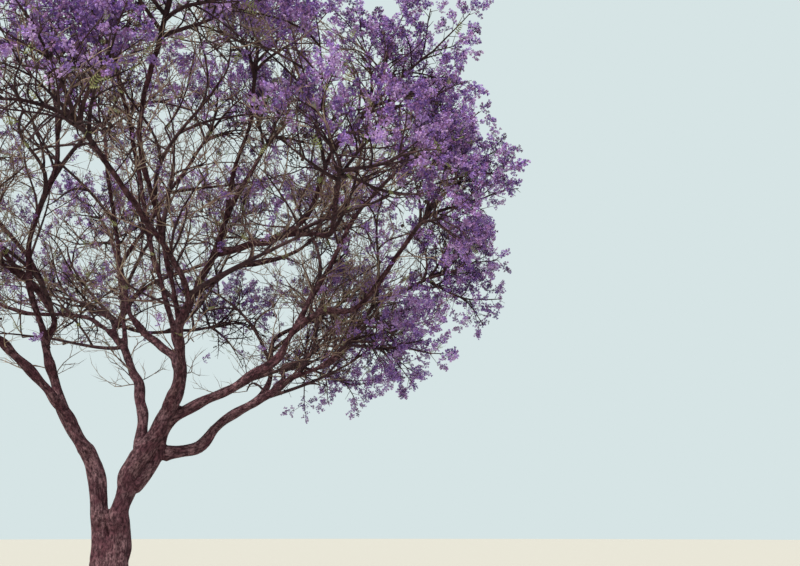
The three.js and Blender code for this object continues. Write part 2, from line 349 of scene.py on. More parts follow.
# The first heading that keeps a piece in its mass's own space and clear of the limbs, or nothing
def roomyWay(mass, others, root, along, tilt, turn, length, room, endRoom):
    for n in range(turnsTried):
        way = childHeading(along, tilt, turn + n * turnStep)
        middle, end = root + way * length * middleShare, root + way * length
        if (roomIn(mass, others, end) >= endRoom and roomIn(mass, others, middle) >= room
                and gapToLimbs(middle, end) >= room):
            return way
    return None


# A mass's stem, twigs and spray axes, each straight, with its parent and its place on it
def growMass(limb):
    mass = limb["mass"]
    others = neighboursOf(mass)
    way = curveTangent(limb["points"], 1)
    stem = {"from": mass["tip"], "way": way, "length": stemLength, "order": 0, "parent": None, "at": 0.0}
    pieces = [stem]

    def fork(parent, seed):
        draw = drawsFrom(seed)
        rule = growth[parent["order"]]
        isSpray = parent["order"] == 1
        firstTurn = draw() * math.pi * 2
        for k in range(rule["forks"]):
            tilt = math.radians((rule["aside"] if k else rule["lead"]) * varied(tiltVaries, draw))
            length = rule["length"] * varied(lengthVaries, draw)
            childSeed = int(draw() * 1048576)
            at = 1 - k * rule["spacing"]
            root = parent["from"] + parent["way"] * parent["length"] * at
            way = roomyWay(mass, others, root, parent["way"], tilt, firstTurn + k * goldenTurn, length,
                           clearance + rule["girth"], clearance + (0 if isSpray else rule["girth"]))
            if way is None:
                continue
            child = {"from": root, "way": way, "length": length, "order": parent["order"] + 1,
                     "parent": parent, "at": at, "seed": childSeed}
            pieces.append(child)
            if not isSpray:
                fork(child, childSeed)

    fork(stem, seeds["mass"] + mass["seed"] * 37)
    return pieces


masses = placeMasses()
mainMade = makeMainLimbs(masses)
limbs = [*mainMade.values(), *makeSideBoughs(list(mainMade.values()), masses)]
trails = np.concatenate([limb["trail"] for limb in limbs])
trailRadii = np.concatenate([limb["trailRadii"] for limb in limbs])
grown = [growMass(limb) for limb in limbs]
print("limbs", len(limbs), "masses", len(masses), "sprays", sum(p["order"] == 2 for g in grown for p in g))


# Turns arrays of points and triangles into a piece that rides on the tree
def meshPiece(name, points, triangles, material, slot, replaced, smooth=False):
    mesh = bpy.data.meshes.new(name)
    mesh.vertices.add(len(points))
    mesh.vertices.foreach_set("co", np.ascontiguousarray(points, np.float32).ravel())
    mesh.loops.add(len(triangles) * 3)
    mesh.loops.foreach_set("vertex_index", np.ascontiguousarray(triangles, np.int32).ravel())
    mesh.polygons.add(len(triangles))
    mesh.polygons.foreach_set("loop_start", np.arange(len(triangles), dtype=np.int32) * 3)
    mesh.update(calc_edges=True)
    mesh.polygons.foreach_set("use_smooth", np.full(len(triangles), smooth))
    dress(addObject(name, mesh), material, slot, replaced)
    print(name, len(triangles), "triangles")


def dress(piece, material, slot, replaced):
    piece.data.materials.clear()
    piece.data.materials.append(material)
    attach(piece, "root")
    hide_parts(*replaced)


# Shared surface effects


def addNode(tree, kind, **values):
    node = tree.nodes.new(kind)
    for key, value in values.items():
        if hasattr(node, key):
            setattr(node, key, value)
        else:
            node.inputs[key.replace("_", " ")].default_value = value
    return node


# Bark grain along a limb: fine cracks, long streaks, broad patches of age, and specks
grainScales = ("Crack Scale", "Streak Scale", "Patch Scale", "Speck Scale", "Stretch")
grainLimits = {"gap": (0.0, 0.2), "broken": (0.38, 0.6), "streaks": (0.34, 0.68), "patches": (0.38, 0.66)}
grainBend = 0.045


def makeGrainGroup():
    tree = bpy.data.node_groups.new("bark_grain", "ShaderNodeTree")
    tree.interface.new_socket("Along", in_out="INPUT", socket_type="NodeSocketVector")
    for name in grainScales:
        tree.interface.new_socket(name, in_out="INPUT", socket_type="NodeSocketFloat")
    for name in ("Cracks", "Streaks", "Patches", "Height"):
        tree.interface.new_socket(name, in_out="OUTPUT", socket_type="NodeSocketFloat")
    link = tree.links.new
    given = tree.nodes.new("NodeGroupInput")
    result = tree.nodes.new("NodeGroupOutput")
    shorten = addNode(tree, "ShaderNodeCombineXYZ", X=1.0, Y=1.0)
    link(given.outputs["Stretch"], shorten.inputs["Z"])
    along = addNode(tree, "ShaderNodeVectorMath", operation="MULTIPLY")
    link(given.outputs["Along"], along.inputs[0])
    link(shorten.outputs[0], along.inputs[1])

    def noise(vector, scale, detail, roughness):
        node = addNode(tree, "ShaderNodeTexNoise", Detail=detail, Roughness=roughness)
        link(vector, node.inputs["Vector"])
        link(given.outputs[scale], node.inputs["Scale"])
        return node

    def sharpen(value, low, high, turned=False):
        node = addNode(tree, "ShaderNodeMapRange", interpolation_type="SMOOTHSTEP", From_Min=low, From_Max=high,
                       To_Min=float(turned), To_Max=float(not turned))
        link(value, node.inputs["Value"])
        return node.outputs["Result"]

    wander = noise(along.outputs[0], "Streak Scale", 3.0, 0.6)
    bent = addNode(tree, "ShaderNodeVectorMath", operation="MULTIPLY_ADD")
    bent.inputs[1].default_value = (grainBend, grainBend, grainBend)
    link(wander.outputs["Color"], bent.inputs[0])
    link(along.outputs[0], bent.inputs[2])
    cells = addNode(tree, "ShaderNodeTexVoronoi", feature="DISTANCE_TO_EDGE")
    link(bent.outputs[0], cells.inputs["Vector"])
    link(given.outputs["Crack Scale"], cells.inputs["Scale"])
    parts = tree.nodes.new("ShaderNodeSeparateXYZ")
    link(wander.outputs["Color"], parts.inputs[0])
    crack = addNode(tree, "ShaderNodeMath", operation="MULTIPLY")
    link(sharpen(cells.outputs["Distance"], *grainLimits["gap"], turned=True), crack.inputs[0])
    link(sharpen(parts.outputs["Y"], *grainLimits["broken"]), crack.inputs[1])
    cracks = crack.outputs[0]
    streaks = sharpen(wander.outputs["Fac"], *grainLimits["streaks"])
    broad = noise(given.outputs["Along"], "Patch Scale", 4.0, 0.6)
    patches = sharpen(broad.outputs["Fac"], *grainLimits["patches"])
    specks = noise(along.outputs[0], "Speck Scale", 3.0, 0.65).outputs["Fac"]

    rise = addNode(tree, "ShaderNodeMath", operation="MULTIPLY_ADD")
    rise.inputs[1].default_value = 0.5
    link(specks, rise.inputs[0])
    link(streaks, rise.inputs[2])
    height = addNode(tree, "ShaderNodeMath", operation="SUBTRACT")
    link(rise.outputs[0], height.inputs[0])
    link(cracks, height.inputs[1])
    made = {"Cracks": cracks, "Streaks": streaks, "Patches": patches, "Height": height.outputs[0]}
    for name, value in made.items():
        link(value, result.inputs[name])
    return tree


grainGroup = makeGrainGroup()


def mixColours(tree, factor, first, second, blend="MIX"):
    node = addNode(tree, "ShaderNodeMix", data_type="RGBA", blend_type=blend)
    for socket, value in ((node.inputs[0], factor), (node.inputs[6], first), (node.inputs[7], second)):
        if isinstance(value, bpy.types.NodeSocket):
            tree.links.new(value, socket)
        else:
            socket.default_value = (*value, 1)
    return node.outputs[2]


def fromHex(code):
    parts = [int(code[i:i + 2], 16) / 255 for i in (0, 2, 4)]
    return tuple(c / 12.92 if c <= 0.04045 else ((c + 0.055) / 1.055) ** 2.4 for c in parts)


def blankMaterial(name, specular):
    material = bpy.data.materials.new(name)
    material.use_nodes = True
    shader = material.node_tree.nodes["Principled BSDF"]
    shader.inputs["Specular IOR Level"].default_value = specular
    return material, material.node_tree, shader


# Wood: dark cracks, brown plates streaked with grey, and paler patches of old bark, with painted shade that darkens
# the wood higher up
def woodFinish(name, look):
    material, tree, shader = blankMaterial(name, 0.2)
    grain = tree.nodes.new("ShaderNodeGroup")
    grain.node_tree = grainGroup
    for key in grainScales:
        grain.inputs[key].default_value = look[key]
    if look["attribute"]:
        along = addNode(tree, "ShaderNodeAttribute", attribute_name=look["attribute"]).outputs["Vector"]
    else:
        along = addNode(tree, "ShaderNodeTexCoord").outputs["Object"]
    tree.links.new(along, grain.inputs["Along"])
    plate = mixColours(tree, grain.outputs["Patches"], fromHex(look["plate"]), fromHex(look["pale"]))
    streaked = mixColours(tree, grain.outputs["Streaks"], fromHex(look["streak"]), plate)
    cut = addNode(tree, "ShaderNodeMath", operation="MULTIPLY")
    cut.inputs[1].default_value = look["crackShare"]
    tree.links.new(grain.outputs["Cracks"], cut.inputs[0])
    whole = mixColours(tree, cut.outputs[0], streaked, fromHex(look["crack"]))
    place = addNode(tree, "ShaderNodeTexCoord")
    height = addNode(tree, "ShaderNodeSeparateXYZ")
    tree.links.new(place.outputs["Object"], height.inputs[0])
    # Painted shade: the colour is multiplied darker between two heights, as the limbs aloft stand in the crown's
    # shade
    low, high = look["paintedShadeHeights"]
    paintedShadeAloft = addNode(tree, "ShaderNodeMapRange", interpolation_type="SMOOTHSTEP", From_Min=low, From_Max=high)
    tree.links.new(height.outputs["Z"], paintedShadeAloft.inputs["Value"])
    shaded = mixColours(tree, paintedShadeAloft.outputs["Result"], whole, fromHex(look["paintedShadeAloft"]), blend="MULTIPLY")
    tree.links.new(shaded, shader.inputs["Base Color"])
    rough = addNode(tree, "ShaderNodeMapRange", To_Min=0.97, To_Max=0.8)
    tree.links.new(grain.outputs["Patches"], rough.inputs["Value"])
    tree.links.new(rough.outputs["Result"], shader.inputs["Roughness"])
    bump = addNode(tree, "ShaderNodeBump", Strength=look["bump"], Distance=look["depth"])
    tree.links.new(grain.outputs["Height"], bump.inputs["Height"])
    tree.links.new(bump.outputs["Normal"], shader.inputs["Normal"])
    return material


# Each look paints shade onto the wood between two heights, multiplying it by the colour given for aloft
barkLook = {
    "attribute": "grain", "Crack Scale": 32.0, "Streak Scale": 19.0, "Patch Scale": 3.4, "Speck Scale": 80.0,
    "Stretch": 0.46, "plate": "784d57", "pale": "a88086", "streak": "42272f", "crack": "24161b",
    "crackShare": 0.7, "bump": 0.9, "depth": 0.01, "paintedShadeHeights": (2.5, 8.0), "paintedShadeAloft": "a89ea4",
}
stoutLook = {
    "attribute": None, "Crack Scale": 40.0, "Streak Scale": 7.0, "Patch Scale": 0.9, "Speck Scale": 90.0,
    "Stretch": 1.0, "plate": "4e363b", "pale": "705554", "streak": "36262c", "crack": "21171b",
    "crackShare": 0.4, "bump": 0.3, "depth": 0.003, "paintedShadeHeights": (4.0, 9.0), "paintedShadeAloft": "d8d4d6",
}
# Slender bark: paler young bark, also painted lighter as if sunlit; shoots that take the stout bark instead are
# painted as shaded
slenderSunlitLook = {
    "attribute": None, "Crack Scale": 60.0, "Streak Scale": 3.0, "Patch Scale": 0.7, "Speck Scale": 90.0,
    "Stretch": 1.0, "plate": "9c8475", "pale": "c8b69f", "streak": "785f57", "crack": "4c3b3c",
    "crackShare": 0.3, "bump": 0.2, "depth": 0.002, "paintedShadeHeights": (4.0, 9.0), "paintedShadeAloft": "e4e0e0",
}
barkMaterial = woodFinish("jacaranda_bark", barkLook)
stoutMaterial = woodFinish("stout_twig_bark", stoutLook)
slenderSunlitMaterial = woodFinish("slender_twig_bark_painted_sunlit", slenderSunlitLook)


def softFinish(name, code, roughness, sheen=0.0):
    material, tree, shader = blankMaterial(name, 0.3)
    shader.inputs["Base Color"].default_value = (*fromHex(code), 1)
    shader.inputs["Roughness"].default_value = roughness
    shader.inputs["Sheen Weight"].default_value = sheen
    return material


# Bark piece


bark = {
    "lowerVoxel": 0.023, "upperVoxel": 0.033, "joinHeight": 4.6, "overlap": 0.25,
    "tubeSides": 16, "stationStep": 0.09, "smoothing": 4,
    "collar": 0.4, "collarLength": 1.3, "ofParent": 0.88, "widening": 0.8,
    "wander": 0.09, "wanderWaves": (0.8, 1.3, 2.2), "swell": 0.05, "swellWave": 0.8, "settle": (0.8, 0.5),
    "trunkRadius": 0.34, "trunkGrain": 300.0, "trunkFrom": -0.2, "trunkBeyond": 0.04,
    "coarseSteps": 40, "searchReach": 0.7, "searchBatch": 4000,
}
relief = {
    "flutes": (0.26, 7, 41), "ridges": (0.2, 6, 43), "lumps": (0.7, 1.2, 47),  # wavelength, stretch, seed
    "fluteDepth": 0.011, "ridgeDepth": 0.008, "lumpDepth": 0.012, "ridgeLevel": 0.6,
    "fullRadius": 0.2, "least": 0.15, "most": 1.3, "pull": 0.03, "onTrunk": 0.25, "trunkFade": 0.5,
    "aloneFrom": 0.04, "aloneRun": 0.12, "blend": 0.01, "leanFrom": 0.8, "leanRun": 0.3,
}


def nearestStation(station, point):
    return int(np.argmin(np.linalg.norm(station["centres"] - point, axis=1)))


# A side direction carried over from one heading to another by the least turn
def carried(side, before, after):
    axis = cross(before, after)
    first = cross(axis, side)
    return side + first + cross(axis, first) / (1 + before @ after)


# Points along a limb at even steps, with their radii and turning frames, and where its grain starts
def limbStations(limb, index, bearer):
    points = limb["points"]
    coarse = bark["coarseSteps"] * (len(points) - 1)
    dense = np.array([curvePoint(points, k / coarse) for k in range(coarse + 1)])
    lengths = np.concatenate([[0], np.cumsum(np.linalg.norm(np.diff(dense, axis=0), axis=1))])
    count = max(8, int(round(lengths[-1] / bark["stationStep"])))
    arc = np.linspace(0, lengths[-1], count + 1)
    share = np.interp(arc, lengths, np.linspace(0, 1, coarse + 1))
    centres = np.stack([np.interp(share, np.linspace(0, 1, coarse + 1), dense[:, i]) for i in range(3)], axis=1)
    radii = np.array([radiusAt(limb, t) for t in share])
    rng = np.random.default_rng(seeds["bark"] + index)
    settleIn, settleOut = bark["settle"]
    ends = np.clip(arc / settleIn, 0, 1) * np.clip((lengths[-1] - arc) / settleOut, 0, 1)
    for wave in bark["wanderWaves"]:
        push = rng.normal(size=3)
        phase = rng.uniform(0, 2 * math.pi)
        centres += (np.sin(arc * 2 * math.pi / wave + phase) * radii * bark["wander"] * wave * ends)[:, None] * push
    if limb["parent"]:
        parent = next(other for other in limbs if other["name"] == limb["parent"][0])
        thickness = radiusAt(parent, limb["parent"][1])
        outside = np.clip(arc - thickness, 0, None)
        radii = radii * (1 + bark["collar"] * np.exp(-outside / (bark["collarLength"] * radii[0])))
        radii = np.minimum(radii, thickness * bark["ofParent"] + outside * bark["widening"])
    swelling = np.sin(arc * 2 * math.pi / bark["swellWave"] + rng.uniform(0, 6))
    radii = radii * (1 + bark["swell"] * swelling * ends)
    tangents = np.gradient(centres, axis=0)
    tangents /= np.linalg.norm(tangents, axis=1)[:, None]
    k = nearestStation(bearer, centres[0])
    away = centres[0] - bearer["centres"][k]
    sides = bearer["across"][k], bearer["over"][k]
    grainStart = bearer["grainStart"] + np.array([away @ sides[0], away @ sides[1], bearer["arc"][k]])
    across = [unit(carried(sides[0], bearer["tangents"][k], tangents[0]))]
    for tangent in tangents[1:]:
        across.append(unit(across[-1] - tangent * (across[-1] @ tangent)))
    across = np.array(across)
    over = np.cross(tangents, across)
    return {"centres": centres, "radii": radii, "arc": arc, "tangents": tangents, "across": across,
            "over": over, "grainStart": grainStart}


def stationMatrix(station, k):
    made = Matrix.Identity(4)
    radius = station["radii"][k]
    for row in range(3):
        made[row][0] = station["across"][k][row] * radius
        made[row][1] = station["over"][k][row] * radius
        made[row][2] = station["tangents"][k][row]
        made[row][3] = station["centres"][k][row]
    return made


def extrudeOn(bm, face):
    made = bmesh.ops.extrude_face_region(bm, geom=[face])["geom"]
    ring = [v for v in made if isinstance(v, bmesh.types.BMVert)]
    return ring, next(f for f in made if isinstance(f, bmesh.types.BMFace))


# A closed tube along the stations whose height lies between the two limits
def limbTube(station, lowest, highest):
    inside = [k for k in range(len(station["arc"])) if lowest <= station["centres"][k][2] <= highest]
    if len(inside) < 2:
        return None
    bm = bmesh.new()
    matrix = stationMatrix(station, inside[0])
    bmesh.ops.create_circle(bm, cap_ends=True, segments=bark["tubeSides"], radius=1, matrix=matrix)
    face = next(iter(bm.faces))
    for k in range(inside[0] + 1, inside[-1] + 1):
        ring, face = extrudeOn(bm, face)
        after = stationMatrix(station, k)
        bmesh.ops.transform(bm, matrix=after @ matrix.inverted(), verts=ring)
        matrix = after
    bmesh.ops.recalc_face_normals(bm, faces=bm.faces[:])
    return bm


def trunkSwell(z, angle):
    foot = math.exp(-max(z, 0) / trunk["flareHeight"])
    return 1 + trunk["flareSpread"] * foot * (1 + trunk["lobeDepth"] * math.cos(trunk["lobes"] * angle))


# The trunk runs from below its cut to a dome that fills the crotch of the two stems
def trunkTube():
    bm = bmesh.new()
    bmesh.ops.create_circle(bm, cap_ends=True, segments=trunk["sides"], radius=1)
    face = next(iter(bm.faces))
    ring = bm.verts[:]
    angles = [math.atan2(v.co.y, v.co.x) for v in ring]
    for k in range(trunk["rings"] + 1):
        share = k / trunk["rings"]
        z = -trunk["belowCut"] + (trunk["crotchTop"] + trunk["belowCut"]) * share
        rise = trunk["crotchTop"] - trunk["height"] + trunk["domeFrom"]
        above = max(0, (z - trunk["height"] + trunk["domeFrom"]) / rise)
        dome = math.sqrt(max(trunk["domeLeast"], 1 - above ** trunk["domePower"]))
        if k:
            ring, face = extrudeOn(bm, face)
            angles = [math.atan2(v.co.y / trunk["halfDepth"], v.co.x / trunk["halfWidth"]) for v in ring]
        for vert, angle in zip(ring, angles):
            swell = trunkSwell(z, angle) * dome
            wide, deep = trunk["halfWidth"] * swell, trunk["halfDepth"] * swell
            vert.co = (math.cos(angle) * wide, math.sin(angle) * deep, z)
    bmesh.ops.recalc_face_normals(bm, faces=bm.faces[:])
    return bm


def joinedObject(name, parts):
    mesh = bpy.data.meshes.new(name)
    whole = bmesh.new()
    for part in parts:
        if part is None:
            continue
        part.to_mesh(mesh)
        part.free()
        whole.from_mesh(mesh)
    whole.to_mesh(mesh)
    whole.free()
    return addObject(name, mesh)


# Fuses overlapping tubes into one skin and eases the creases where they meet
def fusedMesh(source, voxel):
    fuse = source.modifiers.new("fuse", "REMESH")
    fuse.mode = "VOXEL"
    fuse.voxel_size = voxel
    ease = source.modifiers.new("ease", "SMOOTH")
    ease.factor = 0.5
    ease.iterations = bark["smoothing"]
    graph = bpy.context.evaluated_depsgraph_get()
    mesh = bpy.data.meshes.new_from_object(source.evaluated_get(graph))
    bpy.data.objects.remove(source)
    return mesh


# A smooth seeded field of waves, stretched along the third axis
def waves(places, wavelength, stretch, seed, count=22):
    rng = np.random.default_rng(seed)
    directions = rng.normal(size=(count, 3))
    directions /= np.linalg.norm(directions, axis=1)[:, None]
    directions *= 2 * math.pi / wavelength * rng.uniform(0.7, 1.4, (count, 1))
    directions[:, 2] /= stretch
    phases = rng.uniform(0, 2 * math.pi, count)
    return np.cos(places @ directions.T + phases).sum(axis=1) / math.sqrt(count / 2)


# For each point and its two nearest limbs: gap to the skin, radius, place in the limb's frame, way out from it
def nearestLimbs(points, stations):
    found = np.zeros((2, len(points), 8))
    found[:, :, 0] = 9
    for station in stations:
        low = station["centres"].min(axis=0) - bark["searchReach"]
        high = station["centres"].max(axis=0) + bark["searchReach"]
        near = np.nonzero(np.all((points > low) & (points < high), axis=1))[0]
        for chunk in np.array_split(near, max(1, len(near) // bark["searchBatch"])):
            if not len(chunk):
                continue
            offset = points[chunk][:, None, :] - station["centres"][None]
            distance = np.linalg.norm(offset, axis=2) - station["radii"]
            k = np.argmin(distance, axis=1)
            rows = np.arange(len(chunk))
            away = offset[rows, k]
            run = np.einsum("ij,ij->i", away, station["tangents"][k])
            step = station["arc"][1]
            beyond = ((k == 0) & (run < 0)) | ((k == len(station["arc"]) - 1) & (run > 0))
            aside = away - station["tangents"][k] * run[:, None]
            radius = np.interp(station["arc"][k] + run, station["arc"], station["radii"])
            gap = np.linalg.norm(aside, axis=1) - radius
            gap = np.where(beyond, distance[rows, k], gap)
            frameAt = np.stack([np.einsum("ij,ij->i", away, station["across"][k]),
                                np.einsum("ij,ij->i", away, station["over"][k]),
                                station["arc"][k] + np.clip(run, -step, step)], axis=1) + station["grainStart"]
            row = np.column_stack([gap, radius, frameAt, aside])
            nearest, other = found[0, chunk], found[1, chunk]
            first = np.abs(row[:, :1]) < np.abs(nearest[:, :1])
            second = np.abs(row[:, :1]) < np.abs(other[:, :1])
            found[1, chunk] = np.where(first, nearest, np.where(second, row, other))
            found[0, chunk] = np.where(first, row, nearest)
    return found[:, :, 0], found[:, :, 1], found[:, :, 2:5], found[:, :, 5:]


# The bark's relief in a limb's own frame: long flutes, broken ridges and slow lumps
def reliefAt(places, radii):
    thick = np.clip(radii / relief["fullRadius"], relief["least"], relief["most"])
    flutes = waves(places, *relief["flutes"]) * relief["fluteDepth"]
    ridges = (relief["ridgeLevel"] - np.abs(waves(places, *relief["ridges"]))) * relief["ridgeDepth"]
    lumps = waves(places, *relief["lumps"]) * relief["lumpDepth"]
    return (flutes + ridges + lumps) * thick


def trunkStation():
    heights = np.arange(bark["trunkFrom"], trunk["crotchTop"] + bark["trunkBeyond"], bark["stationStep"])
    count = len(heights)
    return {
        "centres": np.stack([np.zeros(count), np.zeros(count), heights], axis=1),
        "radii": np.full(count, bark["trunkRadius"]), "arc": heights - heights[0],
        "tangents": np.tile([0, 0, 1.0], (count, 1)), "across": np.tile([1.0, 0, 0], (count, 1)),
        "over": np.tile([0, 1.0, 0], (count, 1)), "grainStart": np.array([0, 0, bark["trunkGrain"] + heights[0]]),
    }


def vertexRows(mesh, key):
    rows = np.zeros(len(mesh.vertices) * 3, np.float32)
    mesh.vertices.foreach_get(key, rows)
    return rows.reshape(-1, 3).astype(float)


def shapeBark(mesh, stations):
    points, normals = vertexRows(mesh, "co"), vertexRows(mesh, "normal")
    gaps, radii, frames, asides = nearestLimbs(points, [*stations, trunkStation()])
    onTrunk = np.clip((trunk["crotchTop"] - points[:, 2]) / relief["trunkFade"], 0, 1)
    # back to the limb's own radius, where only one limb is near
    alone = np.clip((np.abs(gaps[1]) - relief["aloneFrom"]) / relief["aloneRun"], 0, 1) * (1 - onTrunk)
    pull = np.clip(-gaps[0], -relief["pull"], relief["pull"]) * alone
    points += asides[0] / np.maximum(np.linalg.norm(asides[0], axis=1), 1e-6)[:, None] * pull[:, None]
    share = 1 / (np.abs(gaps) + relief["blend"]) ** 2
    share /= share.sum(axis=0)
    trunkPlace = points + np.array([0, 0, bark["trunkGrain"]])
    raised = share[0] * reliefAt(frames[0], radii[0]) + share[1] * reliefAt(frames[1], radii[1])
    onColumn = reliefAt(trunkPlace, np.full(len(points), relief["onTrunk"]))
    raised = raised * (1 - onTrunk) + onColumn * onTrunk
    points += normals * raised[:, None]
    # the grain runs on smoothly where a limb leaves its parent
    apart = np.linalg.norm(frames[1] - frames[0], axis=1)
    lean = share[1] * np.clip((relief["leanFrom"] - apart) / relief["leanRun"], 0, 1)
    grain = frames[0] + (frames[1] - frames[0]) * lean[:, None]
    onTrunk = (onTrunk * onTrunk * (3 - 2 * onTrunk))[:, None]
    grain = grain * (1 - onTrunk) + trunkPlace * onTrunk
    mesh.vertices.foreach_set("co", points.astype(np.float32).ravel())
    place = mesh.attributes.new("grain", "FLOAT_VECTOR", "POINT")
    place.data.foreach_set("vector", grain.astype(np.float32).ravel())
    mesh.update()


# Cuts a mesh by a level plane, keeps what is above or below, and closes the cut
def cutLevel(mesh, height, keepAbove):
    bm = bmesh.new()
    bm.from_mesh(mesh)
    geom = bm.verts[:] + bm.edges[:] + bm.faces[:]
    cut = bmesh.ops.bisect_plane(bm, geom=geom, plane_co=(0, 0, height), plane_no=(0, 0, 1),
                                 clear_inner=keepAbove, clear_outer=not keepAbove)
    rim = [e for e in cut["geom_cut"] if isinstance(e, bmesh.types.BMEdge)]
    bmesh.ops.holes_fill(bm, edges=rim, sides=0)
    for edge in rim:
        edge.smooth = False
    bm.to_mesh(mesh)
    bm.free()


def makeBark():
    column = trunkStation()
    byName = {}
    for index, limb in enumerate(limbs):
        bearer = byName[limb["parent"][0]] if limb["parent"] else column
        byName[limb["name"]] = limbStations(limb, index, bearer)
    stations = list(byName.values())
    split, spare = bark["joinHeight"], bark["overlap"]
    names = ["trunk", *(limb["name"] for limb in limbs)]
    for name, voxel, low, high in (("bark_lower", bark["lowerVoxel"], -1, split + spare),
                                   ("bark_upper", bark["upperVoxel"], split - spare, 99)):
        tubes = [limbTube(station, low, high) for station in stations]
        if low < 0:
            tubes.append(trunkTube())
        mesh = fusedMesh(joinedObject(name, tubes), voxel)
        shapeBark(mesh, stations)
        if low < 0:
            cutLevel(mesh, 0, True)
        cutLevel(mesh, split, low > 0)
        for polygon in mesh.polygons:
            polygon.use_smooth = True
        dress(addObject(name, mesh), barkMaterial, "bark", names)
        mesh.calc_loop_triangles()
        print(name, len(mesh.loop_triangles), "triangles")
    return stations


limbStationList = makeBark()

# Twigs


def bezier(start, first, second, end, count):
    u = np.linspace(0, 1, count)[:, None]
    return (1 - u) ** 3 * start + 3 * u * (1 - u) ** 2 * first + 3 * u * u * (1 - u) * second + u ** 3 * end


# A twig's bent way: it leaves between its parent's heading and its own, and sways a little
bend = {"follows": 0.5, "leaveShare": 0.35, "arriveShare": 0.3}


def twigPath(start, leaveWay, end, draw, count, sway):
    either = eitherFrom(draw)
    span = end - start
    length = math.sqrt(span @ span)
    way = span / length
    across, over = sidesOf(way)
    swing = sway * length
    leave = unit(leaveWay * bend["follows"] + way)
    first = start + leave * length * bend["leaveShare"] + across * either(swing) + over * either(swing)
    second = end - way * length * bend["arriveShare"] + across * either(swing) + over * either(swing)
    return bezier(start, first, second, end, count)


def pathAt(path, u):
    place = u * (len(path) - 1)
    k = min(int(place), len(path) - 2)
    return path[k] + (path[k + 1] - path[k]) * (place - k), unit(path[k + 1] - path[k])


# Closed tapered tubes along many paths at once, as points and triangles
def tubeArrays(paths, radii, sides):
    paths, radii = np.asarray(paths), np.asarray(radii)
    count, stations = radii.shape
    tangents = np.gradient(paths, axis=1)
    tangents /= np.linalg.norm(tangents, axis=2, keepdims=True)
    pole = np.where(np.abs(tangents[:, 0, 2:3]) > 0.9, [[1.0, 0, 0]], [[0, 0, 1.0]])
    across = np.cross(pole, tangents[:, 0])
    angles = np.arange(sides) * 2 * math.pi / sides
    rings = np.zeros((count, stations, sides, 3))
    for k in range(stations):
        across = across - tangents[:, k] * np.sum(across * tangents[:, k], axis=1, keepdims=True)
        across /= np.linalg.norm(across, axis=1, keepdims=True)
        over = np.cross(tangents[:, k], across)
        ring = np.cos(angles)[None, :, None] * across[:, None] + np.sin(angles)[None, :, None] * over[:, None]
        rings[:, k] = paths[:, k, None] + ring * radii[:, k, None, None]
    faces = []
    last = (stations - 1) * sides
    for k in range(stations - 1):
        for j in range(sides):
            a, b = k * sides + j, k * sides + (j + 1) % sides
            faces += [(a, b, b + sides), (a, b + sides, a + sides)]
    for j in range(1, sides - 1):
        faces += [(0, j + 1, j), (last, last + j, last + j + 1)]
    triangles = np.array(faces)[None] + (np.arange(count) * stations * sides)[:, None, None]
    return rings.reshape(-1, 3), triangles.reshape(-1, 3)


class Gathered:
    def __init__(self):
        self.paths = {}

    def add(self, kind, path, radii):
        self.paths.setdefault(kind, []).append((path, radii))

    def arrays(self, sidesFor):
        points, triangles, offset = [], [], 0
        for kind, rows in self.paths.items():
            made, faces = tubeArrays([r[0] for r in rows], [r[1] for r in rows], sidesFor[kind])
            points.append(made)
            triangles.append(faces + offset)
            offset += len(made)
        return np.concatenate(points), np.concatenate(triangles)


def taper(start, end, count):
    return np.linspace(start, end, count)


# The masses' stems and twigs, with their stations; one that nothing leads on from is thinner at its end
twig = {
    "stemRadii": (0.052, 0.046), "radii": (0.046, 0.024), "lastShare": 0.3,
    "sunk": 0.06, "sway": 0.1, "points": 7,
}

# Sprays at the ends of the twigs: a bare axis, and near its end side twigs with a panicle at each tip.
# Fillers are more sprays along each twig, by the same rule, in the room that the mass has left.
spray = {
    "axisRadii": (0.024, 0.011), "points": 5, "sideTwigs": 7, "sideRadii": (0.01, 0.005), "sideTilt": 54,
    "from": 0.28, "to": 0.94, "sideLength": (0.14, 0.22), "lengthVaries": (0.7, 0.6),
    "panicleTilt": (8, 20), "panicleSize": (0.72, 0.5), "sidePull": 0.12, "paniclePull": 0.2,
    "leafShare": 0.03, "podShare": 0.05,
}
fillers = {
    "places": (0.96, 0.78, 0.6, 0.42, 0.22), "tilt": 58, "length": 0.9, "turnOffset": 1.2, "girth": 0.2,
    "sway": 0.12, "thinner": 0.85,
}
stoutTwigs = Gathered()
outerTwigs = Gathered()
innerTwigs = Gathered()
sprays = []  # path, draw, fullness, height over the middle of its mass
panicles = []  # place, heading, scale, tint, draw, fullness
leafSprays = []
podPlaces = []


def growSpray(path, draw, tint, density, full):
    firstTurn = draw() * math.pi * 2
    count = spray["sideTwigs"]
    for k in range(count + 1):
        u = 1 if k == count else spray["from"] + (spray["to"] - spray["from"]) * k / (count - 1)
        root, along = pathAt(path, u)
        if k == count:
            end, way = root, along
        else:
            tilt = math.radians(spray["sideTilt"] * varied(tiltVaries, draw))
            way = childHeading(along, tilt, firstTurn + k * goldenTurn, spray["sidePull"])
            shortest, spare = spray["sideLength"]
            swelling = math.sin(math.pi * (k + 0.6) / count)
            reach = shortest + spare * swelling * varied(spray["lengthVaries"], draw)
            end = root + way * reach
            outerTwigs.add("side", [root, end], taper(*spray["sideRadii"], 2))
        choice = draw()
        tilt = math.radians(varied(spray["panicleTilt"], draw))
        turned = childHeading(way, tilt, draw() * fullTurn, spray["paniclePull"])
        size = varied(spray["panicleSize"], draw)
        if choice < spray["leafShare"]:
            leafSprays.append((end, turned, size))
        elif choice < density:
            panicles.append((end, turned, size, tint + bloom["panicleTints"] * (draw() - 0.5), draw(), full))
        elif draw() < spray["podShare"]:
            podPlaces.append((end, turned))


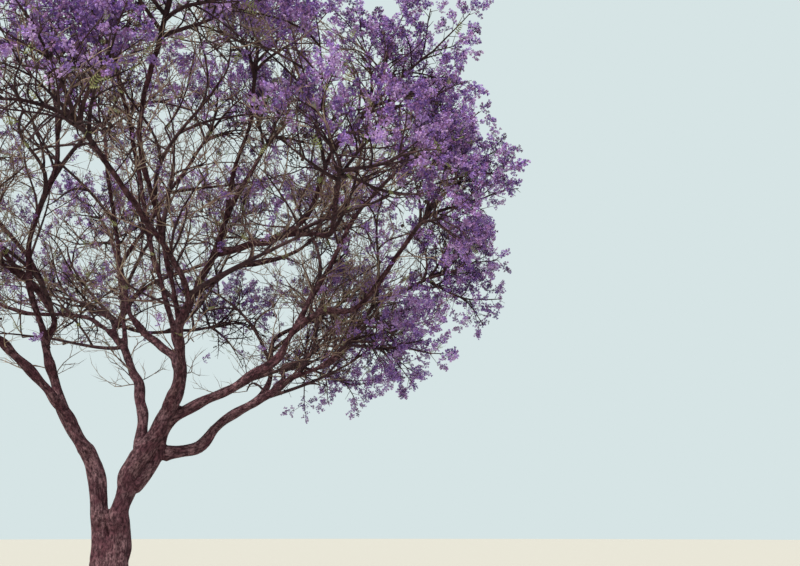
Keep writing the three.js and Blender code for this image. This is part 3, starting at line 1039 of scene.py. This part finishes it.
# How open each spray stands: 1 where nothing grows beyond it, and 0 deep inside the crown
shade = {
    "centre": np.array([0.6, -0.4, 4.6]), "reach": 0.85, "ahead": 0.35, "cover": 5.0,
    "openBearing": 15, "openCover": 4.0,
}
bloom = {
    "inside": 0.06, "outside": 0.97, "shadyBearing": -150, "shadySide": 0.1, "thinShare": 0.16, "thin": 0.3,
    "underside": 0.93, "underFrom": 0.65, "underFade": 1.2, "bareFrom": 1.8, "bareFade": 2.1,
    "tint": 0.42, "paintedLightOpen": 0.14, "paintedLightBelow": 0.02, "paintedLightLevel": 10.5, "sprayTints": 0.32, "panicleTints": 0.6,
}


# How far a place lies towards the crown's open side, seen from its middle
def openwards(place):
    return max(0, float(unit(place - shade["centre"]) @ heading(shade["openBearing"], 0)))


def opennessOf(ends):
    outward = ends - shade["centre"]
    outward /= np.linalg.norm(outward, axis=1, keepdims=True)
    opened = []
    for end, out in zip(ends, outward):
        offset = ends - end
        ahead = offset @ out
        aside = np.linalg.norm(offset - ahead[:, None] * out, axis=1)
        cover = shade["cover"] + shade["openCover"] * openwards(end)
        opened.append(max(0, 1 - np.sum((ahead > shade["ahead"]) & (aside < shade["reach"])) / cover))
    return np.array(opened)


# One side stands in shade, where the crown flowers more thinly
def sunOn(place):
    east, north = place[0] - shade["centre"][0], place[1] - shade["centre"][1]
    turn = math.atan2(north, east) - math.radians(bloom["shadyBearing"])
    return 1 - bloom["shadySide"] * max(0, math.cos(turn))


def asShare(value):
    return max(0, min(1, value))


def growBlossom():
    ends = np.array([path[-1] for path, draw, full, lift in sprays])
    for opened, (path, draw, full, lift) in zip(opennessOf(ends), sprays):
        end = path[-1]
        density = (bloom["inside"] + (bloom["outside"] - bloom["inside"]) * opened) * sunOn(end)
        below = asShare(bloom["underFrom"] - bloom["underFade"] * lift)
        bare = asShare(bloom["bareFrom"] - bloom["bareFade"] * openwards(end))
        density *= 1 - bloom["underside"] * below * bare
        if draw() < bloom["thinShare"]:
            density *= bloom["thin"]
        # Painted light: open sprays take paler tints, as if sunlit, and sprays below the painted light level take
        # paler tints too, to lighten the shade they hang in
        tint = bloom["tint"] + bloom["paintedLightOpen"] * opened + bloom["paintedLightBelow"] * (bloom["paintedLightLevel"] - end[2])
        tint += bloom["sprayTints"] * (draw() - 0.5)
        growSpray(path, draw, tint, density, full)


def liftIn(mass, end):
    return (end[2] - mass["centre"][2]) / crown["massReach"][2]


def growFillers(mass, others, bearer):
    draw = drawsFrom(seeds["fillers"] + bearer["seed"])
    turn = draw() * fullTurn + fillers["turnOffset"]
    for at in fillers["places"]:
        turn += goldenTurn
        start, along = pathAt(bearer["path"], at)
        tilt = math.radians(fillers["tilt"] * varied(tiltVaries, draw))
        length = fillers["length"] * varied(tiltVaries, draw)
        way = roomyWay(mass, others, start, along, tilt, turn, length, fillers["girth"], clearance)
        if way is None:
            continue
        end = start + way * length
        path = twigPath(start, along, end, draw, spray["points"], fillers["sway"])
        stoutTwigs.add("axis", path, taper(*spray["axisRadii"], spray["points"]) * fillers["thinner"])
        sprays.append((path, draw, 0, liftIn(mass, end)))


def growCrown():
    for limb, pieces in zip(limbs, grown):
        mass = limb["mass"]
        others = neighboursOf(mass)
        ledOn = {id(piece["parent"]) for piece in pieces if piece["at"] == 1}
        for piece in pieces:
            thinning = 1 if id(piece) in ledOn else twig["lastShare"]
            draw = drawsFrom(seeds["twigs"] + piece.get("seed", mass["seed"]))
            end = piece["from"] + piece["way"] * piece["length"]
            if piece["order"] == 0:
                thick, thin = twig["stemRadii"]
                start = piece["from"] - piece["way"] * twig["sunk"]
                third = (end - start) / 3
                piece["path"] = bezier(start, start + third, end - third, end, twig["points"])
                stoutTwigs.add("stem", piece["path"], taper(thick, thin * thinning, twig["points"]))
                continue
            start, along = pathAt(piece["parent"]["path"], piece["at"])
            if piece["order"] == 1:
                thick, thin = twig["radii"]
                piece["path"] = twigPath(start, along, end, draw, twig["points"], twig["sway"])
                stoutTwigs.add("stem", piece["path"], taper(thick, thin * thinning, twig["points"]))
                growFillers(mass, others, piece)
            else:
                piece["path"] = twigPath(start, along, end, draw, spray["points"], twig["sway"])
                stoutTwigs.add("axis", piece["path"], taper(*spray["axisRadii"], spray["points"]))
                sprays.append((piece["path"], draw, 1, liftIn(mass, end)))


# Lesser boughs, branches and shoots on the boughs inside the crown, finer and finer, mostly bare
inside = {
    "every": 0.5, "everyVaries": (0.6, 0.8), "from": 0.24, "to": 0.93, "clearTrunk": 5.0,
    "onTwigs": (0.45, 0.8), "litShare": 0.72,
    "boughShare": 0.17, "boughTo": 0.85, "branchShare": 0.36, "branchTo": 0.85,
    "middle": np.array([0.6, -0.5, 8.2]), "reach": np.array([8.7, 8.7, 6.3]), "tries": 4,
    "orders": [
        ("bough", 4, (2.6, 4.2), (0.058, 0.025), 12, 0.16, 52),  # kind, forks, length, radii, points, sway, tilt
        ("branch", 4, (1.4, 2.4), (0.034, 0.016), 9, 0.19, 54),
        ("shoot", 4, (0.8, 1.4), (0.019, 0.009), 6, 0.2, 54),
        ("side", 3, (0.35, 0.75), (0.011, 0.006), 3, 0.16, 46),
        ("fine", 0, (0.2, 0.44), None, 2, 0, 38),
    ],
    "fineRadius": 0.0075, "tiltVaries": (0.75, 0.5), "turnStep": 1.7, "lowestRise": -0.1, "upwardPull": 0.2,
    "ofBearer": 0.9, "narrows": 0.7, "forkFrom": 0.3, "lastShare": 0.35, "onTwigGirth": 0.03,
    "tuftShare": 0.036, "tuftLeaves": 0.06, "tuftSize": (0.6, 0.3), "tuftTint": (0.2, 0.6), "leafSize": (0.5, 0.3),
    "cell": 0.6, "lowestOpen": 7.0, "openDepth": 1.2, "openShare": 0.95, "openSize": (0.7, 0.4),
    "openTilt": 0.2,
}
fineEnds = []  # start and end of the last twigs, which taper to a point


def insideWay(root, along, tilt, turn, length):
    for n in range(inside["tries"]):
        way = childHeading(along, tilt, turn + n * inside["turnStep"], inside["upwardPull"])
        spot = (root + way * length - inside["middle"]) / inside["reach"]
        if way[2] > inside["lowestRise"] and spot @ spot < 1:
            return way
    return None


# Grows one piece and what stands on it, no thicker than what bears it, and says whether it found room
def growInside(root, along, turn, order, draw, girth, extra=0.0):
    kind, forks, (low, high), radii, points, sway, tilt = inside["orders"][order]
    length = low + (high - low) * draw() + extra
    tilt = math.radians(tilt * varied(inside["tiltVaries"], draw))
    way = insideWay(root, along, tilt, turn, length)
    if way is None:
        return False
    end = root + way * length
    if not forks:
        fineEnds.append((root, end))
        choice = draw()
        if choice < inside["tuftShare"]:
            size, tint = varied(inside["tuftSize"], draw), varied(inside["tuftTint"], draw)
            panicles.append((end, way, size, tint, draw(), 0))
        elif choice < inside["tuftShare"] + inside["tuftLeaves"]:
            leafSprays.append((end, way, varied(inside["leafSize"], draw)))
        return True
    path = twigPath(root, along, end, draw, points, sway)
    # Painted light and shade: finer twigs and a share of the shoots take the paler bark, painted as sunlit, and the
    # other shoots take the darker stout bark, painted as shaded
    gathered = innerTwigs if order > 2 or order == 2 and draw() < inside["litShare"] else stoutTwigs
    thick = min(radii[0], girth * inside["ofBearer"])
    thin = min(radii[1], thick * inside["narrows"])
    childTurn = draw() * fullTurn
    for n in range(forks):
        at = inside["forkFrom"] + (1 - inside["forkFrom"]) * n / (forks - 1)
        spot, onward = pathAt(path, at)
        here = thick + (thin - thick) * at
        ledOn = growInside(spot, onward, childTurn + n * goldenTurn, order + 1, draw, here)
    gathered.add(kind, path, taper(thick, thin if ledOn else thin * inside["lastShare"], points))
    return True


def growOnTwigs():
    for pieces in grown:
        for piece in (p for p in pieces if p["order"] == 1):
            draw = drawsFrom(seeds["onTwigs"] + piece["seed"])
            for at in inside["onTwigs"]:
                root, along = pathAt(piece["path"], at)
                growInside(root, along, draw() * fullTurn, 2, draw, inside["onTwigGirth"])


def growShoots():
    for index, (limb, station) in enumerate(zip(limbs, limbStationList)):
        draw = drawsFrom(seeds["shoots"] + index)
        length = station["arc"][-1]
        place = length * inside["from"]
        turn = draw() * fullTurn
        while place < length * inside["to"]:
            k = int(round(place / station["arc"][1]))
            root, along = station["centres"][k], station["tangents"][k]
            share, choice = place / length, draw()
            place += inside["every"] * varied(inside["everyVaries"], draw)
            turn += goldenTurn
            if root[2] < inside["clearTrunk"]:
                continue
            if choice < inside["boughShare"] and share < inside["boughTo"]:
                order = 0
            elif choice < inside["branchShare"] and share < inside["branchTo"]:
                order = 1
            else:
                order = 2
            growInside(root, along, turn, order, draw, station["radii"][k], station["radii"][k])


# The fine twigs at the top of the crown's open places, where no spray stands over them, flower as well
def flowerOpenTwigs():
    draw = drawsFrom(seeds["openTwigs"])
    over = np.array([path[-1] for path, *rest in sprays])
    cells = [tuple(np.floor(end[:2] / inside["cell"]).astype(int)) for start, end in fineEnds]
    tops = {}
    for cell, (start, end) in zip(cells, fineEnds):
        tops[cell] = max(tops.get(cell, inside["lowestOpen"]), end[2])
    for cell, (start, end) in zip(cells, fineEnds):
        if end[2] < tops[cell] - inside["openDepth"] or end[2] < inside["lowestOpen"] or draw() > inside["openShare"]:
            continue
        near = np.linalg.norm(over[:, :2] - end[:2], axis=1) < shade["reach"]
        if not np.any(near & (over[:, 2] > end[2])):
            way = childHeading(unit(end - start), inside["openTilt"], draw() * fullTurn)
            size, tint = varied(inside["openSize"], draw), varied(inside["tuftTint"], draw)
            panicles.append((end, way, size, tint, draw(), 0))


growCrown()
growBlossom()
print("sprays", len(sprays), "panicles", len(panicles))
growShoots()
growOnTwigs()
print("panicles before the open places", len(panicles))
flowerOpenTwigs()
print("panicles", len(panicles), "leaf sprays", len(leafSprays), "pods", len(podPlaces), "fine", len(fineEnds))
for gathered in (stoutTwigs, outerTwigs, innerTwigs):
    print({kind: len(rows) for kind, rows in gathered.paths.items()})

# Blossom: a bell of five lobes, gathered on the branchlets of a pyramid-shaped panicle.
# A flower is about twice life size across its mouth, so that fewer make the crown as full.
flower = {
    "length": 0.053, "mouth": 0.034, "lobes": 5, "lobeHalfAngle": 27, "upperLobe": 0.82,
    "roughness": 0.7, "sheen": 0.2,
}
panicle = {
    "stalk": 0.31, "stalkRadius": 0.005, "branchReach": 0.14,
    "variants": 5, "full": (6, 6), "slight": (5, 5),  # branchlets, flowers on each
    "ownTints": (-0.2, 0.0, 0.2),  # a flower is darker or lighter than its panicle
    "firstTilt": 80, "tiltFall": 56, "tiltSpread": 14, "shrinks": 0.4, "reachVaries": (0.75, 1.25),
    "flowersFrom": 0.18, "flowersRun": 0.82, "endTilt": (5, 25), "asideTilt": (55, 90), "droop": -0.1,
    "flowerSize": (0.85, 1.15),
}


def pointsAndTriangles(bm):
    bmesh.ops.triangulate(bm, faces=bm.faces[:])
    bm.verts.index_update()
    points = np.array([v.co[:] for v in bm.verts])
    triangles = np.array([[v.index for v in f.verts] for f in bm.faces])
    bm.free()
    return points, triangles


def bellFlower():
    bm = bmesh.new()
    throat = bm.verts.new((0, 0, 0))
    for k in range(flower["lobes"]):
        size = flower["upperLobe"] if k in (0, 1) else 1.0
        rim = []
        for side in (-1, 1):
            angle = math.radians(360 / flower["lobes"] * k + side * flower["lobeHalfAngle"])
            spread = flower["mouth"] * size
            depth = flower["length"] * (0.8 + 0.2 * size)
            rim.append(bm.verts.new((math.cos(angle) * spread, math.sin(angle) * spread, depth)))
        bm.faces.new((throat, *rim))
    return pointsAndTriangles(bm)


def basisFor(ways, spins):
    ways = ways / np.linalg.norm(ways, axis=1, keepdims=True)
    pole = np.where(np.abs(ways[:, 2:3]) > 0.9, [[1.0, 0, 0]], [[0, 0, 1.0]])
    across = np.cross(pole, ways)
    across /= np.linalg.norm(across, axis=1, keepdims=True)
    over = np.cross(ways, across)
    cosines, sines = np.cos(spins)[:, None], np.sin(spins)[:, None]
    return np.stack([across * cosines + over * sines, over * cosines - across * sines, ways], axis=2)


# Copies one small shape to many places at once
def placeCopies(shape, places, ways, spins, scales):
    points, triangles = shape
    turned = np.einsum("nij,vj->nvi", basisFor(ways, spins) * scales[:, None, None], points)
    turned += places[:, None]
    faces = triangles[None] + (np.arange(len(places)) * len(points))[:, None, None]
    return turned.reshape(-1, 3), faces.reshape(-1, 3)


def joinShapes(shapes):
    offset, points, triangles = 0, [], []
    for made, faces in shapes:
        points.append(made)
        triangles.append(faces + offset)
        offset += len(made)
    return np.concatenate(points), np.concatenate(triangles)


# Thin three-sided spikes, open at the foot
def spikes(starts, ends, radius):
    made = []
    corners = (0, 2.094, 4.189)
    for start, end in zip(starts, ends):
        across, over = sidesOf(unit(end - start))
        ring = [start + (across * math.cos(a) + over * math.sin(a)) * radius for a in corners]
        made.append((np.array([*ring, end]), np.array([(0, 1, 3), (1, 2, 3), (2, 0, 3)])))
    return joinShapes(made)


# A panicle's flowers, one shape for each of their own tints, and its stalk with branchlets, standing on the
# origin along +Z
def panicleShape(rng, branchlets, flowersEach):
    up = np.array([0, 0, 1.0])
    starts, ends = [up * 0], [up * panicle["stalk"]]
    places, ways = [], []
    turn = rng.uniform(0, fullTurn)
    for b in range(branchlets):
        share = b / (branchlets - 1)
        turn += goldenTurn
        root = up * panicle["stalk"] * (0.1 + 0.8 * share)
        spread = rng.uniform(-panicle["tiltSpread"], panicle["tiltSpread"])
        tilt = panicle["firstTilt"] - panicle["tiltFall"] * share + spread
        way = childHeading(up, math.radians(tilt), turn, 0)
        reach = panicle["branchReach"] * (1 - panicle["shrinks"] * share) * rng.uniform(*panicle["reachVaries"])
        starts.append(root)
        ends.append(root + way * reach)
        for n in range(flowersEach):
            along = panicle["flowersFrom"] + panicle["flowersRun"] * n / (flowersEach - 1)
            tilt = math.radians(rng.uniform(*panicle["endTilt" if n == flowersEach - 1 else "asideTilt"]))
            places.append(root + way * reach * along)
            ways.append(childHeading(way, tilt, n * goldenTurn + turn, panicle["droop"]))
    count = len(places)
    places, ways = np.array(places), np.array(ways)
    spins, scales = rng.uniform(0, fullTurn, count), rng.uniform(*panicle["flowerSize"], count)
    own = rng.permutation(np.arange(count) % len(panicle["ownTints"]))
    flowers = [placeCopies(bellFlower(), places[own == k], ways[own == k], spins[own == k], scales[own == k])
               for k in range(len(panicle["ownTints"]))]
    return flowers, spikes(starts, ends, panicle["stalkRadius"])


# Blossom tints from deep to pale; the step a panicle takes holds painted light as well as its own random tone
tints = {
    "blossom_deep": "4f2d5c", "blossom_violet": "6c4797", "blossom_mauve": "92659d",
    "blossom_lilac": "a27ec6", "blossom_pale": "bf9ed0",
}


def inFrame(points, spare=0.02):
    low, high = np.array(frameBox[0]) - spare, np.array(frameBox[1]) + spare
    return np.all((points > low) & (points < high), axis=1)


def makeBlossom(massNames):
    rng = np.random.default_rng(seeds["panicles"])
    shapes = [panicleShape(rng, *panicle[kind]) for kind in ("slight", "full") for _ in range(panicle["variants"])]
    places, ways, scales, tint, spin, full = (np.array(column) for column in zip(*panicles))
    spin = spin * fullTurn
    kept = inFrame(places + ways * (scales * 0.3)[:, None])
    variant = (spin * 1000).astype(int) % panicle["variants"] + full * panicle["variants"]
    for index, (name, code) in enumerate(tints.items()):
        copies = []
        for k, own in enumerate(panicle["ownTints"]):
            step = np.clip(((tint + own) * len(tints)).astype(int), 0, len(tints) - 1)
            for which, (flowers, stalks) in enumerate(shapes):
                rows = np.nonzero((step == index) & (variant == which) & kept)[0]
                if len(rows):
                    copies.append(placeCopies(flowers[k], places[rows], ways[rows], spin[rows], scales[rows]))
        points, triangles = joinShapes(copies)
        finish = softFinish(name, code, flower["roughness"], flower["sheen"])
        meshPiece(name, points, triangles, finish, "blossom", massNames)
    copies = []
    for which, (flowers, stalks) in enumerate(shapes):
        rows = np.nonzero((variant == which) & kept)[0]
        if len(rows):
            copies.append(placeCopies(stalks, places[rows], ways[rows], spin[rows], scales[rows]))
    meshPiece("panicle_stalks", *joinShapes(copies), stoutMaterial, "bark", massNames)


# Fresh leaves: a midrib with pairs of pointed leaflets
leaf = {
    "length": 0.26, "pairs": 5, "width": 0.014, "reach": 0.055, "perSpray": 2, "spread": 0.45, "sizes": (0.8, 1.15),
    "fold": 0.008, "droop": 0.012, "midrib": 0.003, "tipSpare": 0.4, "colour": "868b59", "roughness": 0.6,
}


def frond():
    bm = bmesh.new()
    count = leaf["pairs"]
    for k in range(count):
        u = (k + 1) / (count + 0.5)
        reach = leaf["reach"] * math.sin(math.pi * (0.15 + 0.75 * u)) * 1.05
        for side in (-1, 1):
            root = bm.verts.new((0, 0, leaf["length"] * u))
            z = leaf["length"] * u
            high = bm.verts.new((side * reach * 0.45, leaf["fold"], z + reach * 0.25 + leaf["width"]))
            tip = bm.verts.new((side * reach, -leaf["droop"], z + reach * 0.4))
            low = bm.verts.new((side * reach * 0.5, leaf["fold"], z + reach * 0.1 - leaf["width"] * 0.4))
            bm.faces.new((root, low, tip, high) if side > 0 else (root, high, tip, low))
    ribTip = leaf["length"] * 1.1
    bm.faces.new([bm.verts.new(place) for place in ((-leaf["midrib"], 0, 0), (leaf["midrib"], 0, 0), (0, 0, ribTip))])
    return pointsAndTriangles(bm)


def makeLeaves(massNames):
    rng = np.random.default_rng(seeds["leaves"])
    places, ways, scales = [], [], []
    for place, way, scale in leafSprays:
        for k in range(leaf["perSpray"]):
            places.append(place)
            ways.append(way + rng.normal(size=3) * leaf["spread"])
            scales.append(scale * rng.uniform(*leaf["sizes"]))
    places, ways, scales = np.array(places), np.array(ways), np.array(scales)
    kept = inFrame(places + ways / np.linalg.norm(ways, axis=1)[:, None] * leaf["tipSpare"])
    places, ways, scales = places[kept], ways[kept], scales[kept]
    made = placeCopies(frond(), places, ways, rng.uniform(0, fullTurn, len(places)), scales)
    finish = softFinish("fresh_leaf", leaf["colour"], leaf["roughness"])
    meshPiece("fresh_leaves", *made, finish, "blossom", massNames)


# Last year's pods: flat round discs on a short stalk
pod = {
    "radius": 0.034, "thickness": 0.01, "stalkRadius": 0.003, "perPlace": 2, "spread": 0.5, "fall": -0.9,
    "sizes": (0.8, 1.2), "colour": "3a2a26", "roughness": 0.75,
}


def podShape():
    bm = bmesh.new()
    upright = Matrix.Rotation(math.pi / 2, 4, "X")
    disc = (8, pod["radius"], pod["thickness"], Matrix.Translation((0, 0, pod["radius"] * 1.6)) @ upright)
    stalk = (3, pod["stalkRadius"], pod["radius"], Matrix.Translation((0, 0, pod["radius"] * 0.4)))
    for sides, radius, depth, matrix in (disc, stalk):
        bmesh.ops.create_cone(bm, cap_ends=True, cap_tris=False, segments=sides, radius1=radius, radius2=radius,
                              depth=depth, matrix=matrix)
    return pointsAndTriangles(bm)


def makePods(massNames):
    rng = np.random.default_rng(seeds["pods"])
    places = np.array([p[0] for p in podPlaces for _ in range(pod["perPlace"])])
    ways = rng.normal(size=places.shape) * pod["spread"] + [0, 0, pod["fall"]]
    kept = inFrame(places + ways * 0.1)
    places, ways = places[kept], ways[kept]
    spins, scales = rng.uniform(0, fullTurn, len(places)), rng.uniform(*pod["sizes"], len(places))
    made = placeCopies(podShape(), places, ways, spins, scales)
    meshPiece("seed_pods", *made, softFinish("old_pod", pod["colour"], pod["roughness"]), "bark", massNames)


def makeTwigs(massNames):
    sidesFor = {"stem": 6, "axis": 4, "side": 3, "bough": 6, "branch": 5, "shoot": 3}
    fine = spikes(*zip(*fineEnds), inside["fineRadius"])
    for name, shape, material in (("twigs_stout", stoutTwigs.arrays(sidesFor), stoutMaterial),
                                  ("twigs_outer", outerTwigs.arrays(sidesFor), stoutMaterial),
                                  ("twigs_inner", joinShapes([innerTwigs.arrays(sidesFor), fine]), slenderSunlitMaterial)):
        meshPiece(name, *shape, material, "bark", massNames, smooth=True)


massNames = ["mass_" + mass["label"].replace(" ", "_") for mass in masses]
makeBlossom(massNames)
makeLeaves(massNames)
makePods(massNames)
makeTwigs(massNames)

# Floor, sky and lamps
studio = {
    "floorRadius": 160, "floorSides": 96, "floor": "b9b5ac", "sky": "d6e4e5", "skyLight": 0.8,
    "sun": 4.9, "sunSoftness": 12, "sunColour": (1.0, 0.95, 0.88), "sunTurn": (42, 0, -30),
}


def makeFloor():
    bm = bmesh.new()
    bmesh.ops.create_circle(bm, cap_ends=True, segments=studio["floorSides"], radius=studio["floorRadius"])
    mesh = bpy.data.meshes.new("floor")
    bm.to_mesh(mesh)
    bm.free()
    floor = addObject("floor", mesh)
    mesh.materials.append(softFinish("pale_floor", studio["floor"], 0.9))


# The sky is seen at its own brightness and lights the tree less, so that shade stays dark
def makeLight():
    world = bpy.data.worlds.new("pale_sky")
    scene.world = world
    world.use_nodes = True
    tree = world.node_tree
    seen = tree.nodes["Background"]
    shed = addNode(tree, "ShaderNodeBackground", Strength=studio["skyLight"])
    for light in (seen, shed):
        light.inputs["Color"].default_value = (*fromHex(studio["sky"]), 1)
    ray = tree.nodes.new("ShaderNodeLightPath")
    both = tree.nodes.new("ShaderNodeMixShader")
    tree.links.new(ray.outputs["Is Camera Ray"], both.inputs[0])
    tree.links.new(shed.outputs[0], both.inputs[1])
    tree.links.new(seen.outputs[0], both.inputs[2])
    tree.links.new(both.outputs[0], tree.nodes["World Output"].inputs[0])
    lamp = bpy.data.lights.new("soft_sun", "SUN")
    lamp.energy = studio["sun"]
    lamp.angle = math.radians(studio["sunSoftness"])
    lamp.color = studio["sunColour"]
    holder = addObject("soft_sun", lamp)
    holder.rotation_euler = [math.radians(a) for a in studio["sunTurn"]]


makeFloor()
makeLight()
scene.view_settings.view_transform = "Standard"
print("stage ready")
